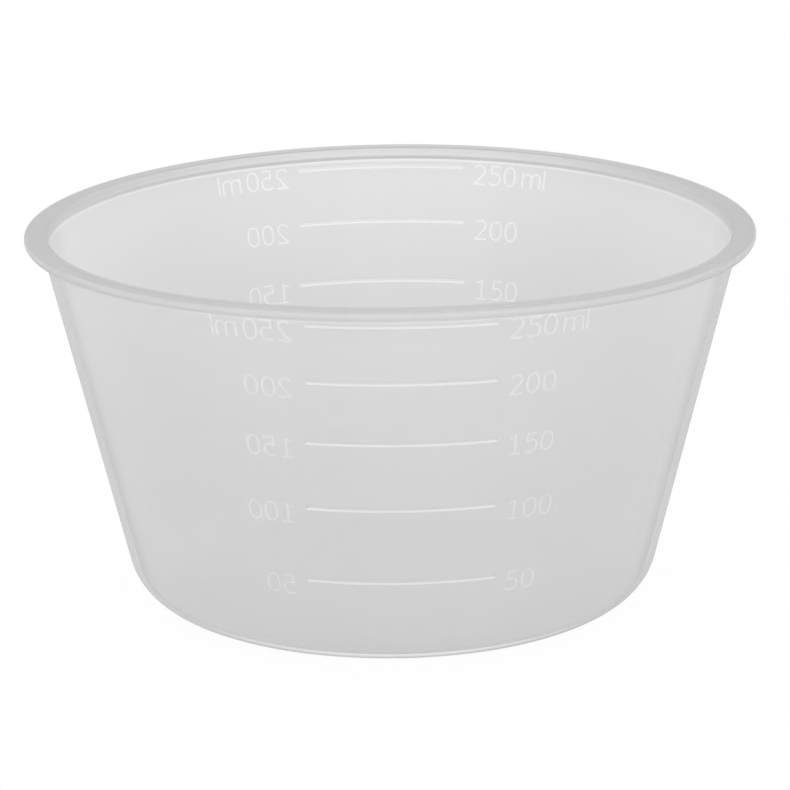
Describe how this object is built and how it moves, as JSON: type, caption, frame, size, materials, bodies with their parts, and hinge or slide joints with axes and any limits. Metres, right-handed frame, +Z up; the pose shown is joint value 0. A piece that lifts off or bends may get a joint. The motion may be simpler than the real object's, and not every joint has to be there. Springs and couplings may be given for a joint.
{
  "type": "graduated bowl",
  "caption": "Translucent round plastic bowl with a sloping wall, a flat rim flange, a rounded foot and raised volume lines inside.",
  "frame": {"origin": "middle of the foot, on the surface that the bowl stands on", "axes": "+Z up along the axis of the turned form; the two sets of volume lines are centred on -Y and +Y"},
  "size_m": [0.0996, 0.0996, 0.0518],
  "materials": {
    "natural_polypropylene": "translucent natural polypropylene, satin from the mould"
  },
  "bodies": {
    "root": {"bowl": "natural_polypropylene"}
  },
  "joints": []
}
